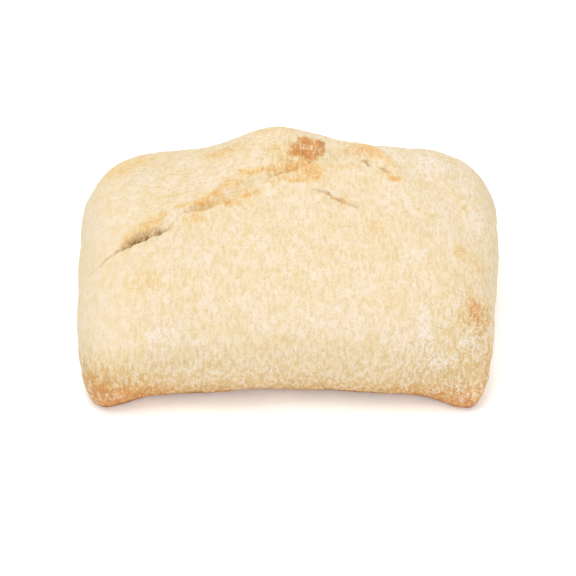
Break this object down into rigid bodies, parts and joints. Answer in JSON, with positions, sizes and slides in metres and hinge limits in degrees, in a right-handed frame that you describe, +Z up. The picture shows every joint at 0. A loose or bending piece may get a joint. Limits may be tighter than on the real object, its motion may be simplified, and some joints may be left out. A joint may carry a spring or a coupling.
{
  "type": "ciabatta roll",
  "caption": "Puffy floured ciabatta roll with a torn crust along its upper left, a low crest at the back and a flat sole.",
  "frame": {"origin": "middle of the roll's box in plan, on the sole it rests on", "axes": "+X along the roll, +Y to its back, +Z up"},
  "size_m": [0.128, 0.0882, 0.0524],
  "materials": {
    "crust": "dry, floured bread crust, pale gold with browned corners"
  },
  "bodies": {
    "root": {"ciabatta_roll": "crust"}
  },
  "joints": []
}
